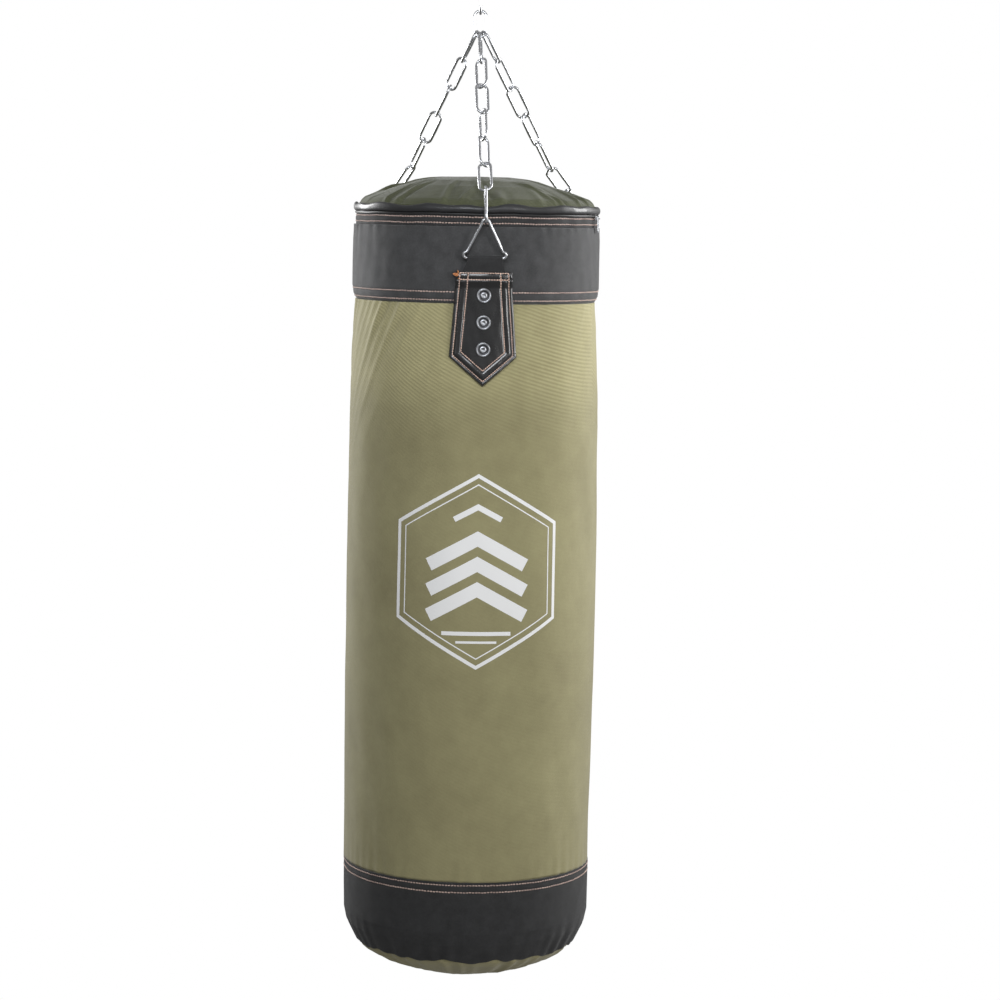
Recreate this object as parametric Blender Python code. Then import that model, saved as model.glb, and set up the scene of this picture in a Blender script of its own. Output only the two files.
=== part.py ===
"""Heavy punching bag on a three-leg chain and a swivel snap hook.

Frame: metres, +Z up, the bag's front faces -Y. The origin is the hang point, inside the top of the hook's bow.
Heights below are in millimetres above (+) or below (-) the bag's rim, and turned into the frame by finish().
"""

import math

import bmesh
import bpy
from mathutils import Vector

# Overall stations, mm from the rim
HANG_Z = 368.5  # inside top of the hook's bow
LID_TOP = 36.0
BAND_TOP = -27.4
BAND_END = -122.7
CANVAS_END = -854.8
HEM_Z = -961.5
BASE_Z = -1005.6
GAP = 0.3  # clearance between sewn layers

# Layer thicknesses
SKIN = 1.8
BAND_SKIN = 2.0
LINER = 10.0

# Chain
WIRE = 3.2
CHAIN_GAP = 0.5  # slack between two wires that bear on each other
PITCH = 42.5
LINK_HALF = 7.8  # half width of a leg link's centreline
TOP_HALF = 7.8
LEG_AZIMUTHS = {"front": 4.2, "left": -137.0, "right": 132.5}
LEG_PHI = {"front": 0.0, "left": -50.0, "right": 50.0}
LEG_TURNS = {
    "front": (-78, 42, -18, 66, -42, 18, -90),
    "left": (-36, 78, -42, 54, -66, -6, -90),
    "right": (18, 78, -42, 78, 18, -42, 78),
}
JUNCTION_Z = 214.3  # centre of the junction link's lower wire
RIM_JOINT = (161.0, 16.7)  # radius and height of the last joint above the rim

# Triangular rings
RING_WIRE = 3.8
RING_BASE_R = 164.4
RING_BASE_Z = -66.0
RING_HEIGHT = 40.0
RING_HALF = 26.3
RING_LEAN = 19.0  # degrees outward from the band

# Straps
STRAP_TOP = -82.8
STRAP_TIP = -225.4
STRAP_THICK = 3.2
RIVET_Z = (-112.4, -145.9, -179.4)
RIVET_R = 9.3
SHANK_R = 2.3

# Hook and swivel
EYE_WIRE = 5.0
EYE_R = 11.5
BOSS_R = 11.0
BOSS_Z = (303.0, 315.0)
SHANK = 4.0
BORE = 4.3
BOW_R = 17.0
BOW_Z = 357.0
HOOK_WIRE = 5.5
PIVOT = (15.5, 314.0)

# Zip
SLIDER_AZ = 74.0

SEGMENTS = 36

for old in list(bpy.data.objects):
    bpy.data.objects.remove(old)


def material(name, colour, metallic, roughness):
    mat = bpy.data.materials.new(name)
    mat.use_nodes = True
    shader = mat.node_tree.nodes["Principled BSDF"]
    shader.inputs["Base Color"].default_value = (*colour, 1)
    shader.inputs["Metallic"].default_value = metallic
    shader.inputs["Roughness"].default_value = roughness
    return mat


OLIVE = material("olive_canvas", (0.24, 0.21, 0.13), 0, 0.9)
LID = material("lid_canvas", (0.13, 0.13, 0.09), 0, 0.85)
BLACK = material("black_webbing", (0.055, 0.055, 0.055), 0, 0.8)
VINYL = material("black_vinyl", (0.03, 0.03, 0.035), 0, 0.3)
LEATHER = material("black_leather", (0.02, 0.02, 0.02), 0, 0.4)
ZINC = material("zinc_steel", (0.75, 0.76, 0.78), 1, 0.25)
FOAM = material("foam", (0.5, 0.5, 0.48), 0, 0.9)
TEXTILE = material("textile_fill", (0.4, 0.38, 0.36), 0, 0.95)
ZIP = material("zip_plastic", (0.02, 0.02, 0.02), 0, 0.5)

HOOK_ORIGIN = Vector((0, 0, HANG_Z))
BAG_ORIGIN = Vector((0, 0, JUNCTION_Z))


def finish(name, points, faces, mat, origin):
    """A mesh object whose points are millimetre stations and whose origin is the given station."""
    mesh = bpy.data.meshes.new(name)
    mesh.from_pydata([(Vector(p) - origin) / 1000 for p in points], [], faces)
    work = bmesh.new()
    work.from_mesh(mesh)
    bmesh.ops.recalc_face_normals(work, faces=work.faces)
    work.to_mesh(mesh)
    work.free()
    obj = bpy.data.objects.new(name, mesh)
    obj.location = (origin - HOOK_ORIGIN) / 1000
    obj.data.materials.append(mat)
    bpy.context.collection.objects.link(obj)
    return obj


def lathe(name, profile, mat, origin=BAG_ORIGIN, segments=SEGMENTS, centre=(0, 0)):
    """Revolves a closed profile of (radius, height) about Z; the profile runs clockwise in (r, z)."""
    points = []
    rows = []
    for r, z in profile:
        if r < 1e-6:
            rows.append([len(points)] * segments)
            points.append((centre[0], centre[1], z))
            continue
        rows.append(list(range(len(points), len(points) + segments)))
        for k in range(segments):
            a = 2 * math.pi * k / segments
            points.append((centre[0] + r * math.cos(a), centre[1] + r * math.sin(a), z))
    faces = []
    for lower, upper in zip(rows, rows[1:] + rows[:1]):
        for k in range(segments):
            n = (k + 1) % segments
            quad = [lower[k], upper[k], upper[n], lower[n]]
            corners = [v for i, v in enumerate(quad) if v != quad[i - 1]]
            if len(set(corners)) > 2:
                faces.append(corners)
    return finish(name, points, faces, mat, origin)


def wire(name, path, radius, mat, origin, cyclic=True, sides=6, radii=None):
    """A round wire swept along a path of stations."""
    points = [Vector(p) for p in path]
    count = len(points)
    tangents = []
    for i in range(count):
        before = points[i - 1] if cyclic or i else points[i]
        after = points[(i + 1) % count] if cyclic or i + 1 < count else points[i]
        tangents.append((after - before).normalized())
    plane = Vector((0, 0, 0))
    centre = sum(points, Vector()) / count
    for a, b in zip(points, points[1:]):
        plane += (a - centre).cross(b - centre)
    side = plane.normalized() if plane.length > 1e-3 else tangents[0].orthogonal().normalized()
    verts = []
    for i, point in enumerate(points):
        across = (side - tangents[i] * side.dot(tangents[i])).normalized()
        out = tangents[i].cross(across)
        r = radii[i] if radii else radius
        for k in range(sides):
            a = 2 * math.pi * (k + 0.5) / sides
            verts.append(point + (across * math.cos(a) + out * math.sin(a)) * r)
    faces = []
    for i in range(count if cyclic else count - 1):
        j = (i + 1) % count
        for k in range(sides):
            n = (k + 1) % sides
            faces.append((i * sides + k, i * sides + n, j * sides + n, j * sides + k))
    if not cyclic:
        faces.append(tuple(reversed(range(sides))))
        faces.append(tuple(range((count - 1) * sides, count * sides)))
    return finish(name, verts, faces, mat, origin)


def link_path(top, along, across, length, half, steps=6):
    """The centreline of a chain link, from its top bend; 'along' points down the chain."""
    upper = top + along * half
    lower = top + along * (length - half)
    path = []
    for k in range(steps + 1):
        a = math.pi * k / steps
        path.append(upper + across * half * math.cos(a) - along * half * math.sin(a))
    for k in range(steps + 1):
        a = math.pi * k / steps
        path.append(lower - across * half * math.cos(a) + along * half * math.sin(a))
    return path


def cut(obj, cutter):
    modifier = obj.modifiers.new(cutter.name, "BOOLEAN")
    modifier.operation = "DIFFERENCE"
    modifier.solver = "EXACT"
    modifier.object = cutter
    cutter.hide_render = True
    cutter.display_type = "WIRE"


def join(obj, other):
    modifier = obj.modifiers.new(other.name, "BOOLEAN")
    modifier.operation = "UNION"
    modifier.solver = "EXACT"
    modifier.object = other
    other.hide_render = True
    other.display_type = "WIRE"


# The bag's outer silhouette: radius at a height, straight between stations
SIDE = (
    (-27.4, 157.4),
    (-45, 158.6),
    (-106, 158.9),
    (-116.4, 157.4),
    (-123.4, 154.2),
    (-132.4, 155.0),
    (-155, 156.9),
    (-181, 158.2),
    (-230, 160.0),
    (-285, 161.3),
    (-450, 162.4),
    (-620, 162.8),
    (-800, 161.0),
    (-890, 160.5),
    (-922, 160.0),
    (-938, 156.6),
    (-961.5, 144.6),
)


def side_radius(z):
    for (z0, r0), (z1, r1) in zip(SIDE, SIDE[1:]):
        if z1 <= z <= z0:
            return r0 + (r1 - r0) * (z - z0) / (z1 - z0)
    return SIDE[0][1] if z > SIDE[0][0] else SIDE[-1][1]


def stations(top, end):
    """Heights from top to end, with the silhouette's own stations between."""
    return [top] + [z for z, _ in SIDE if end + 1 < z < top - 1] + [end]


def sleeve(name, top, end, thickness, mat, inset=0.0):
    """An open tube that follows the silhouette, its outside set in by 'inset'."""
    heights = stations(top, end)
    outer = [(side_radius(z) - inset, z) for z in heights]
    inner = [(r - thickness, z) for r, z in reversed(outer)]
    return lathe(name, outer + inner, mat)


def shell(name, outer, thickness, mat):
    """A cap or a bowl: a thin shell under a profile that starts on the axis."""
    inner = []
    for i, (r, z) in enumerate(outer):
        r0, z0 = outer[max(i - 1, 0)]
        r1, z1 = outer[min(i + 1, len(outer) - 1)]
        length = math.hypot(r1 - r0, z1 - z0)
        turn = 1 if outer[-1][1] < outer[0][1] else -1
        step = Vector((turn * (z1 - z0) / length, -turn * (r1 - r0) / length)) * thickness
        inner.append((0 if i == 0 else r + step.x, z + step.y))
    profile = outer + inner[::-1]
    return lathe(name, profile if turn == 1 else profile[::-1], mat)


# Sewn shell of the bag
sleeve("canvas_body", BAND_END - GAP, CANVAS_END, SKIN, OLIVE)
sleeve("top_band", BAND_TOP, BAND_END, BAND_SKIN, BLACK)
sleeve("bottom_band", CANVAS_END - GAP, HEM_Z, BAND_SKIN, BLACK)
shell(
    "top_lid",
    [(0, LID_TOP), (45, 34.8), (80, 30.6), (104, 24.2), (121.5, 17.4), (134.4, 12.2)]
    + [(144.5, 8.0), (149.6, 3.6), (151.6, -0.5), (152.2, -8.0)],
    3.0,
    LID,
)
shell(
    "base_panel",
    [(0, BASE_Z), (26, -1004.8), (50, -1002.0), (76, -996.2), (98, -989.0)]
    + [(118, -980.4), (134, -970.6), (142.2, -963.2)],
    2.5,
    LID,
)
lathe(
    "rim_piping",
    [(152.9, -0.9), (155.2, -1.4), (157.6, -4.6), (159.3, -8.2), (159.0, -10.2), (156.4, -10.6)]
    + [(153.4, -9.6), (152.6, -5.0)],
    VINYL,
)
lathe("zip_coil", [(153.2, -11.0), (157.0, -11.0), (157.4, -12.4), (157.0, -13.8), (153.2, -13.8)], ZIP)
lathe("binding_tape", [(154.0, -14.1), (156.2, -14.1), (156.4, -20), (156.2, -27.1), (154.0, -27.1)], BLACK)

# Padding and filling
LINER_TOP = -29.0
LINER_END = -938.0
liner = [(151.8, LINER_TOP), (151.8, -127), (156.4, -200), (159.9, -450), (158.6, -800), (157.4, -918), (153.6, LINER_END)]
core = [(r - LINER, z) for r, z in liner]
lathe("foam_liner", liner + core[::-1], FOAM)
fill = [(r - GAP, z) for r, z in core]
fill_top = [(0, LID_TOP - 4.2), (60, 28.5), (104, 19.4), (130, 9.4), (142, 2.2)]
fill_end = [(129, -966), (112, -978.5), (92, -986.5), (60, -995.5), (30, -1000.5), (0, BASE_Z + 3.6)]
lathe("filling", fill_top + fill + fill_end, TEXTILE)


# Chain legs
def bend(a):
    """A point on the junction link's lower bend, at an angle from its bottom."""
    p = math.radians(a)
    centre = Vector((0, 0, JUNCTION_Z + TOP_HALF))
    return centre + Vector((math.sin(p), 0, -math.cos(p))) * TOP_HALF


def radial(azimuth):
    a = math.radians(azimuth)
    return Vector((math.sin(a), -math.cos(a), 0))


def tangential(azimuth):
    a = math.radians(azimuth)
    return Vector((math.cos(a), math.sin(a), 0))


BITE = WIRE + CHAIN_GAP
LINK_LENGTH = PITCH + BITE
UP = Vector((0, 0, 1))


def ring_apex(azimuth):
    lean = math.radians(RING_LEAN)
    radius = RING_BASE_R + RING_HEIGHT * math.sin(lean)
    return radial(azimuth) * radius + UP * (RING_BASE_Z + RING_HEIGHT * math.cos(lean))


def directions(leg):
    """Unit vectors down the leg: its upper five links, the sixth, and the one over the rim."""
    azimuth = LEG_AZIMUTHS[leg]
    start = bend(LEG_PHI[leg])
    rim = radial(azimuth) * RIM_JOINT[0] + UP * RIM_JOINT[1]
    span = rim - start
    reach = 5 * PITCH
    a = (reach**2 - PITCH**2 + span.length_squared) / (2 * span.length)
    off = math.sqrt(max(reach**2 - a**2, 0))
    down = span.normalized()
    lift = (UP - down * UP.dot(down)).normalized()
    elbow = start + down * a + lift * off * ELBOW_SIDE
    upper = (elbow - start).normalized()
    sixth = (rim - elbow).normalized()
    last = (ring_apex(azimuth) - rim).normalized()
    return upper, upper, upper, upper, upper, sixth, last


ELBOW_SIDE = -1
BEND_SLACK = (0.65, 0, 0, 0, 0, 0.2, 0.5)  # more slack in the shared bend, and where the leg bends over the rim
RING_AT = {}
for leg, azimuth in LEG_AZIMUTHS.items():
    hold = bend(LEG_PHI[leg])
    for n, along in enumerate(directions(leg)):
        top = hold - along * (BITE + BEND_SLACK[n])
        flat = tangential(azimuth)
        flat = (flat - along * flat.dot(along)).normalized()
        up = along.cross(flat)
        turn = math.radians(LEG_TURNS[leg][n])
        across = flat * math.cos(turn) + up * math.sin(turn)
        path = link_path(top, along, across, LINK_LENGTH, LINK_HALF)
        wire(f"{leg}_link_{n + 1}", path, WIRE / 2, ZINC, BAG_ORIGIN)
        hold = top + along * LINK_LENGTH
    RING_AT[leg] = (hold, along)


# Triangular rings, loops and straps
def ring_path(azimuth, apex):
    """The ring's centreline: its base bar, two rounded corners and the apex."""
    flat = tangential(azimuth)
    base = radial(azimuth) * RING_BASE_R + UP * RING_BASE_Z
    up = (apex - base).normalized()
    height = (apex - base).length
    corner = 4.0
    crown = 4.4
    slope = math.atan2(height - crown, RING_HALF)
    path = []
    low = (RING_HALF - corner, corner)
    for k in range(5):
        a = -math.pi / 2 + (math.pi / 2 + slope + 0.55) * k / 4
        path.append((low[0] + corner * math.cos(a), low[1] + corner * math.sin(a)))
    for k in range(5):
        a = (slope - 0.95) + (math.pi / 2 - slope + 0.95) * k / 4
        path.append((crown * math.cos(a), height - crown + crown * math.sin(a)))
    mirrored = [(-x, z) for x, z in reversed(path[:-1])]
    return [base + flat * x + up * z for x, z in path + mirrored]


def patch(name, azimuth, rows, mat, columns=6):
    """A sheet laid round the bag: rows of (height, half width, inner radius, outer radius)."""
    points = []
    for side in (2, 3):
        for row in rows:
            for k in range(columns + 1):
                x = row[1] * (2 * k / columns - 1)
                angle = math.radians(azimuth) + x / row[side]
                at = Vector((math.sin(angle), -math.cos(angle), 0)) * row[side]
                points.append(at + UP * row[0])
    wide = columns + 1
    half = len(rows) * wide
    faces = []
    for i in range(len(rows) - 1):
        for k in range(columns):
            a = i * wide + k
            faces.append((a, a + wide, a + wide + 1, a + 1))
            faces.append((half + a, half + a + 1, half + a + wide + 1, half + a + wide))
    for i in range(len(rows) - 1):
        a = i * wide
        b = a + columns
        faces.append((a, half + a, half + a + wide, a + wide))
        faces.append((b, b + wide, half + b + wide, half + b))
    end = (len(rows) - 1) * wide
    for k in range(columns):
        faces.append((k, k + 1, half + k + 1, half + k))
        faces.append((end + k, half + end + k, half + end + k + 1, end + k + 1))
    return finish(name, points, faces, mat, BAG_ORIGIN)


def strap_rows():
    """The strap: over the loop's ends at the top, flat on the bag below, with a pointed tip."""
    outline = (
        (STRAP_TOP, 34.8, 163.2),
        (-94.5, 35.6, 162.9),
        (-102.5, 36.2, 159.5),
        (-124, 38.0, 159.3),
        (-150, 40.2, 159.2),
        (-176, 42.6, 159.3),
        (-189, 43.5, 159.6),
        (-196, 40.0, 159.8),
        (-208, 25.0, 160.2),
        (-218, 11.0, 160.7),
        (STRAP_TIP, 1.2, 161.1),
    )
    return [(z, half, r, r + STRAP_THICK) for z, half, r in outline]


def loop(name, azimuth):
    """A tape that goes round the ring's base bar and back under the strap."""
    thick = 1.5
    inner_r = RING_WIRE / 2 + 0.35
    profile = []
    back = 159.25
    for z in (-93.6, -84.0, -74.0):
        profile.append((back, z))
    for k in range(7):
        a = math.radians(200 - 200 * k / 6)
        outer = inner_r + thick
        profile.append((RING_BASE_R + outer * math.cos(a), RING_BASE_Z + outer * math.sin(a)))
    profile.append((RING_BASE_R + inner_r + thick - 1.2, -72.0))
    profile.append((162.7, -80.0))
    profile.append((162.6, -93.6))
    inside = [(162.6 - thick, -93.6), (162.7 - thick, -80.4), (RING_BASE_R + inner_r - 1.6, -71.2)]
    for k in range(7):
        a = math.radians(200 * k / 6)
        inside.append((RING_BASE_R + inner_r * math.cos(a), RING_BASE_Z + inner_r * math.sin(a)))
    inside += [(back + thick, -74.6), (back + thick, -84.0), (back + thick, -93.6)]
    outline = profile + inside
    columns = 4
    points = []
    for k in range(columns + 1):
        for r, z in outline:
            half = 22.0 if z > -74 else 22.0 + 5.0 * min(1, (-74 - z) / 10)
            x = half * (2 * k / columns - 1)
            points.append(radial(azimuth) * r + tangential(azimuth) * x + UP * z)
    # the sheet follows the band: each column is moved in by the band's fall-off
    moved = []
    for point in points:
        x = point.dot(tangential(azimuth))
        drop = 159.25 - math.sqrt(159.25**2 - x**2)
        keep = 1.0 if point.z < -72 else max(0.0, (-66 - point.z) / 6)
        moved.append(point - radial(azimuth) * drop * keep)
    count = len(outline)
    faces = []
    for k in range(columns):
        for i in range(count):
            j = (i + 1) % count
            a = k * count
            faces.append((a + i, a + j, a + count + j, a + count + i))
    half_count = len(profile)
    for k, flip in ((0, True), (columns, False)):
        a = k * count
        for i in range(half_count - 1):
            o = count - 1 - i
            quad = (a + i, a + i + 1, a + o - 1, a + o)
            faces.append(quad if flip else quad[::-1])
    return finish(name, moved, faces, mat=BLACK, origin=BAG_ORIGIN)


def rivet(name, azimuth, z, face):
    """A domed head with a rolled rim and a dimple, and the shank that goes through the strap."""
    profile = [(0, 2.2), (3.4, 1.7), (6.4, 2.7), (8.4, 2.3), (RIVET_R, 1.0)]
    profile += [(RIVET_R, 0.35), (SHANK_R, 0.35), (SHANK_R, -STRAP_THICK + 0.1), (0, -STRAP_THICK + 0.1)]
    segments = 10
    out = radial(azimuth)
    flat = tangential(azimuth)
    points = []
    rows = []
    for r, h in profile:
        if r < 1e-6:
            rows.append([len(points)] * segments)
            points.append(out * (face + h) + UP * z)
            continue
        rows.append(list(range(len(points), len(points) + segments)))
        for k in range(segments):
            a = 2 * math.pi * k / segments
            points.append(out * (face + h) + flat * (r * math.cos(a)) + UP * (z + r * math.sin(a)))
    faces = []
    for lower, upper in zip(rows, rows[1:]):
        for k in range(segments):
            n = (k + 1) % segments
            quad = [lower[k], upper[k], upper[n], lower[n]]
            corners = [v for i, v in enumerate(quad) if v != quad[i - 1]]
            if len(set(corners)) > 2:
                faces.append(corners)
    return finish(name, points, faces, ZINC, BAG_ORIGIN)


def strap_face(z):
    rows = strap_rows()
    for upper, lower in zip(rows, rows[1:]):
        if lower[0] <= z <= upper[0]:
            t = (z - upper[0]) / (lower[0] - upper[0])
            return upper[3] + (lower[3] - upper[3]) * t
    return rows[-1][3]


for leg, azimuth in LEG_AZIMUTHS.items():
    hold, along = RING_AT[leg]
    reach = RING_WIRE / 2 + WIRE / 2 + CHAIN_GAP
    apex = hold - along * reach
    wire(f"{leg}_ring", ring_path(azimuth, apex), RING_WIRE / 2, ZINC, BAG_ORIGIN)
    loop(f"{leg}_loop", azimuth)
    strap = patch(f"{leg}_strap", azimuth, strap_rows(), LEATHER)
    for n, z in enumerate(RIVET_Z):
        face = strap_face(z)
        start = radial(azimuth) * (face - 8) + UP * z
        end = radial(azimuth) * (face + 8) + UP * z
        hole = wire(f"{leg}_hole_{n + 1}", [start, end], SHANK_R + GAP, LEATHER, BAG_ORIGIN, False, 12)
        cut(strap, hole)
        rivet(f"{leg}_rivet_{n + 1}", azimuth, z, face)

# Links above the junction
DOWN = Vector((0, 0, -1))
TOP_LENGTH = 33.0
junction_top = JUNCTION_Z + TOP_LENGTH
upper_bottom = junction_top - BITE
upper_top = upper_bottom + TOP_LENGTH
eye_bottom = upper_top - (WIRE / 2 + EYE_WIRE / 2 + CHAIN_GAP)

path = link_path(Vector((0, 0, junction_top)), DOWN, Vector((1, 0, 0)), TOP_LENGTH, TOP_HALF, 8)
wire("junction_link", path, WIRE / 2, ZINC, Vector((0, 0, upper_bottom)))
path = link_path(Vector((0, 0, upper_top)), DOWN, Vector((0, 1, 0)), TOP_LENGTH, TOP_HALF)
wire("upper_link", path, WIRE / 2, ZINC, Vector((0, 0, eye_bottom)))

# Swivel eye: a ring, its shank through the hook's boss, and the head that holds it
eye_centre = eye_bottom + EYE_R
eye_path = [
    Vector((EYE_R * math.sin(2 * math.pi * k / 16), 0, eye_centre - EYE_R * math.cos(2 * math.pi * k / 16)))
    for k in range(16)
]
SWIVEL_ORIGIN = Vector((0, 0, (BOSS_Z[0] + BOSS_Z[1]) / 2))
eye = wire("swivel_eye", eye_path, EYE_WIRE / 2, ZINC, SWIVEL_ORIGIN)
head = BOSS_Z[1] + GAP
neck = BOSS_Z[0] - GAP
low = eye_centre + EYE_R - 1.5
stem = lathe(
    "swivel_stem",
    [(0, head + 4.5), (5.0, head + 4.2), (6.8, head + 2.5), (6.8, head), (SHANK, head)]
    + [(SHANK, neck), (6.4, neck), (5.4, low + 2), (4.2, low), (0, low)],
    ZINC,
    SWIVEL_ORIGIN,
    20,
)
join(eye, stem)

# Hook body: the boss, the spine, the bow and the nose
bow = []
radii = []
for x, z, r in ((-7.5, 308.0, 5.0), (-12.5, 313.5, 5.4), (-16.2, 322.0, 5.5), (-17.0, 336.0, 5.5)):
    bow.append(Vector((x, 0, z)))
    radii.append(r)
for k in range(13):
    a = math.pi - math.pi * k / 12
    bow.append(Vector((BOW_R * math.cos(a), 0, BOW_Z + BOW_R * math.sin(a))))
    radii.append(HOOK_WIRE)
bow.append(Vector((17.0, 0, 351.0)))
radii.append(5.2)
bow.append(Vector((17.0, 0, 346.5)))
radii.append(4.0)
hook = wire("hook_body", bow, HOOK_WIRE, ZINC, HOOK_ORIGIN, False, 12, radii)
boss = lathe(
    "hook_boss",
    [(BORE, BOSS_Z[1]), (9.5, BOSS_Z[1]), (BOSS_R, BOSS_Z[1] - 1.5), (BOSS_R, BOSS_Z[0] + 1.5)]
    + [(9.5, BOSS_Z[0]), (BORE, BOSS_Z[0])],
    ZINC,
    HOOK_ORIGIN,
    24,
)
join(hook, boss)


def block(name, low, high, mat, origin):
    points = [(x, y, z) for x in (low[0], high[0]) for y in (low[1], high[1]) for z in (low[2], high[2])]
    faces = [(0, 1, 3, 2), (4, 6, 7, 5), (0, 4, 5, 1), (2, 3, 7, 6), (0, 2, 6, 4), (1, 5, 7, 3)]
    return finish(name, points, faces, mat, origin)


px, pz = PIVOT
for n, y in enumerate((-6.9, 4.5)):
    lug = block(f"hook_lug_{n}", (8.5, y, pz - 5), (px + 3.6, y + 2.4, pz + 3.4), ZINC, HOOK_ORIGIN)
    join(hook, lug)
PIN_R = 1.6
hole = wire("pin_hole", [(px, -9, pz), (px, 9, pz)], PIN_R + 0.1, ZINC, HOOK_ORIGIN, False, 12)
cut(hook, hole)
wire("gate_pin", [(px, -7.6, pz), (px, 7.6, pz)], PIN_R, ZINC, Vector((px, 0, pz)), False, 12)

# Gate: two cheeks on the pin and the bar that closes the hook from inside the nose
GATE_ORIGIN = Vector((px, 0, pz))
TIP_X = 17.0 - 5.2 - 3.0 - 0.35
bar = [(px - 0.6, 0, pz + 5.0), (TIP_X + 2.6, 0, 335.0), (TIP_X, 0, 345.0), (TIP_X, 0, 352.0)]
gate = wire("hook_gate", bar, 3.0, ZINC, GATE_ORIGIN, False, 10, [3.4, 3.2, 3.0, 2.6])
for n, y in enumerate((-4.2, 2.5)):
    cheek = wire(
        f"gate_cheek_{n}", [(px, y, pz), (px, y + 1.7, pz)], 3.4, ZINC, GATE_ORIGIN, False, 12
    )
    web = block(f"gate_web_{n}", (px - 3.2, y, pz), (px + 2.4, y + 1.7, pz + 7.5), ZINC, GATE_ORIGIN)
    join(gate, cheek)
    join(gate, web)
hole = wire("gate_hole", [(px, -9, pz), (px, 9, pz)], PIN_R + 0.1, ZINC, GATE_ORIGIN, False, 12)
cut(gate, hole)

# Gate spring: a small coil round the pin between the cheeks
coil = []
turns = 2.5
for k in range(int(turns * 10) + 1):
    a = 2 * math.pi * k / 10
    y = -1.6 + 3.2 * k / (turns * 10)
    coil.append((px + 2.5 * math.sin(a), y, pz - 2.5 * math.cos(a)))
wire("gate_spring", coil, 0.4, ZINC, GATE_ORIGIN, False, 6)

# Zip slider and its pull tab, on the zip below the rim
slider_out = radial(SLIDER_AZ)
slider_flat = tangential(SLIDER_AZ)


def around(name, size, centre, mat, origin):
    """A block set on the rim at the slider, sized (tangential, radial, vertical)."""
    points = []
    for x in (-0.5, 0.5):
        for y in (-0.5, 0.5):
            for z in (-0.5, 0.5):
                point = slider_flat * (centre[0] + size[0] * x) + slider_out * (centre[1] + size[1] * y)
                points.append(point + UP * (centre[2] + size[2] * z))
    faces = [(0, 1, 3, 2), (4, 6, 7, 5), (0, 4, 5, 1), (2, 3, 7, 6), (0, 2, 6, 4), (1, 5, 7, 3)]
    return finish(name, points, [f[::-1] for f in faces], mat, origin)


ZIP_ORIGIN = Vector((0, 0, -12.4))
slider = around("zip_slider", (9.0, 1.6, 5.0), (0, 158.9, -14.6), ZINC, ZIP_ORIGIN)
TAB_R = 161.4
TAB_Z = -14.7
TAB_ORIGIN = slider_out * TAB_R + UP * TAB_Z
BAIL_Z = -15.3
bridge = [
    slider_flat * x + slider_out * r + UP * BAIL_Z
    for x, r in ((-1.5, 159.2), (-1.5, 162.6), (-0.9, 163.6), (0.9, 163.6), (1.5, 162.6), (1.5, 159.2))
]
bail = wire("zip_bail", bridge, 0.6, ZINC, ZIP_ORIGIN, False, 6)
join(slider, bail)
tab = around("zip_pull", (7.0, 1.2, 20.0), (0, TAB_R, -23.2), ZINC, TAB_ORIGIN)
window = around("zip_window", (5.0, 4.0, 4.8), (0, TAB_R, -16.6), ZINC, TAB_ORIGIN)
cut(tab, window)
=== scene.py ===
import math

import bpy
import numpy as np
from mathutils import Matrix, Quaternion, Vector


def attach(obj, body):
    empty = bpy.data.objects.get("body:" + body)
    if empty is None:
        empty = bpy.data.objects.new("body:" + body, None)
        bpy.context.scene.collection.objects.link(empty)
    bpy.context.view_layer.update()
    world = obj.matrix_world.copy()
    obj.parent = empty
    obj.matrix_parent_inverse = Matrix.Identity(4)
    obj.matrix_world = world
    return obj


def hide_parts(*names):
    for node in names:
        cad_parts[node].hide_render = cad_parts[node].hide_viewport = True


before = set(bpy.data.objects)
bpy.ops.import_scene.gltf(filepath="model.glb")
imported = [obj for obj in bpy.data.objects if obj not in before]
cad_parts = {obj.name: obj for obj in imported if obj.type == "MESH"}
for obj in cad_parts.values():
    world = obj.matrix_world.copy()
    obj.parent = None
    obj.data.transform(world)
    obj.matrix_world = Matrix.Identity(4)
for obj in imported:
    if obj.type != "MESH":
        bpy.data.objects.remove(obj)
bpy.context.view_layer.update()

# Stations in millimetres above (+) or below (-) the bag's rim; the frame's origin is the hang point.
HANG_Z = 368.5
LEGS = {"front": 4.2, "left": -137.0, "right": 132.5}
BAND_TOP = -27.4
BAND_END = -122.7
CANVAS_END = -854.8
HEM_Z = -961.5
TAPE_TOP, TAPE_FOOT = -13.9, -27.6
RIM_ROWS = (-15.9, -23.3)
BAND_ROWS = (-108.6, -118.8)
FOOT_ROWS = (-858.8, -867.8)
ROUND_COLUMNS = 480
CLOTH_RADIUS = 0.159  # metres of cloth for each radian round the bag


# ---------------------------------------------------------------- materials
def shader(name, colour, rough, metal=0.0):
    mat = bpy.data.materials.new(name)
    mat.use_nodes = True
    tree = mat.node_tree
    bsdf = tree.nodes["Principled BSDF"]
    bsdf.inputs["Base Color"].default_value = (*colour, 1)
    bsdf.inputs["Roughness"].default_value = rough
    bsdf.inputs["Metallic"].default_value = metal
    return mat, tree, bsdf


def node(tree, kind, **values):
    made = tree.nodes.new(kind)
    for key, value in values.items():
        setattr(made, key, value)
    return made


def link(tree, a, out, b, into):
    tree.links.new(a.outputs[out], b.inputs[into])


def calc(tree, op, a, b=None, c=None):
    made = node(tree, "ShaderNodeMath", operation=op)
    for i, value in enumerate((a, b, c)):
        if value is None:
            continue
        if isinstance(value, (int, float)):
            made.inputs[i].default_value = value
        else:
            tree.links.new(value, made.inputs[i])
    return made.outputs[0]


def weigh(tree, *terms):
    """The sum of values, each times its weight."""
    total = None
    for value, weight in terms:
        part = calc(tree, "MULTIPLY", value, weight)
        total = part if total is None else calc(tree, "ADD", total, part)
    return total


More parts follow.
